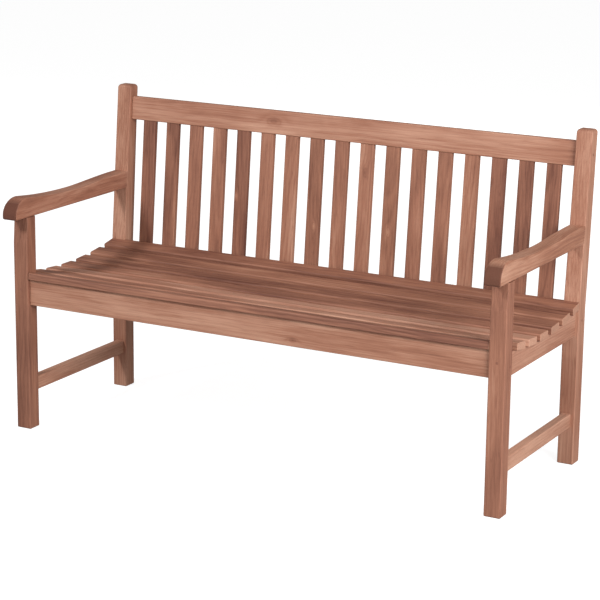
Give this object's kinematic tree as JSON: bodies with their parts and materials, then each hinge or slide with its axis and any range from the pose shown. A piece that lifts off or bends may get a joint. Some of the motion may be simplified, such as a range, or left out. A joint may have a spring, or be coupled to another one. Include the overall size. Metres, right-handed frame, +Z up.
{
  "type": "garden bench",
  "caption": "Three-seat slatted teak garden bench with a dished seat, a leaning slatted back, rolled arms and pegged mortise-and-tenon joints.",
  "frame": {"origin": "on the ground, under the middle of the bench's bounding box", "axes": "+X to the right as seen from the front, +Y to the back, +Z up"},
  "size_m": [1.5, 0.6222, 0.92],
  "materials": {
    "leg_wood": "sanded bare teak, lightly oiled",
    "arm_wood": "sanded bare teak with dark growth lines",
    "rail_wood": "sanded bare teak, lightly oiled",
    "seat_slat_wood": "sanded bare teak, tone varies from slat to slat",
    "back_slat_wood": "sanded bare teak, tone varies from slat to slat",
    "peg_wood": "dark end grain of a driven peg"
  },
  "bodies": {
    "root": {"arm_left": "arm_wood", "arm_right": "arm_wood", "back_slat_01": "back_slat_wood", "back_slat_02": "back_slat_wood", "back_slat_03": "back_slat_wood", "back_slat_04": "back_slat_wood", "back_slat_05": "back_slat_wood", "back_slat_06": "back_slat_wood", "back_slat_07": "back_slat_wood", "back_slat_08": "back_slat_wood", "back_slat_09": "back_slat_wood", "back_slat_10": "back_slat_wood", "back_slat_11": "back_slat_wood", "back_slat_12": "back_slat_wood", "back_slat_13": "back_slat_wood", "back_slat_14": "back_slat_wood", "back_slat_15": "back_slat_wood", "back_slat_16": "back_slat_wood", "back_slat_17": "back_slat_wood", "centre_bearer": "rail_wood", "front_leg_left": "leg_wood", "front_leg_right": "leg_wood", "front_rail": "rail_wood", "front_rail_peg_left": "peg_wood", "front_rail_peg_right": "peg_wood", "rear_post_left": "leg_wood", "rear_post_right": "leg_wood", "rear_rail": "rail_wood", "rear_rail_peg_left": "peg_wood", "rear_rail_peg_right": "peg_wood", "seat_slat_1": "seat_slat_wood", "seat_slat_2": "seat_slat_wood", "seat_slat_3": "seat_slat_wood", "seat_slat_4": "seat_slat_wood", "seat_slat_5": "seat_slat_wood", "seat_slat_6": "seat_slat_wood", "seat_slat_7": "seat_slat_wood", "side_rail_left": "rail_wood", "side_rail_peg_left": "peg_wood", "side_rail_peg_right": "peg_wood", "side_rail_right": "rail_wood", "side_stretcher_left": "rail_wood", "side_stretcher_right": "rail_wood", "top_rail": "rail_wood", "top_rail_peg_left": "peg_wood", "top_rail_peg_right": "peg_wood"}
  },
  "joints": []
}
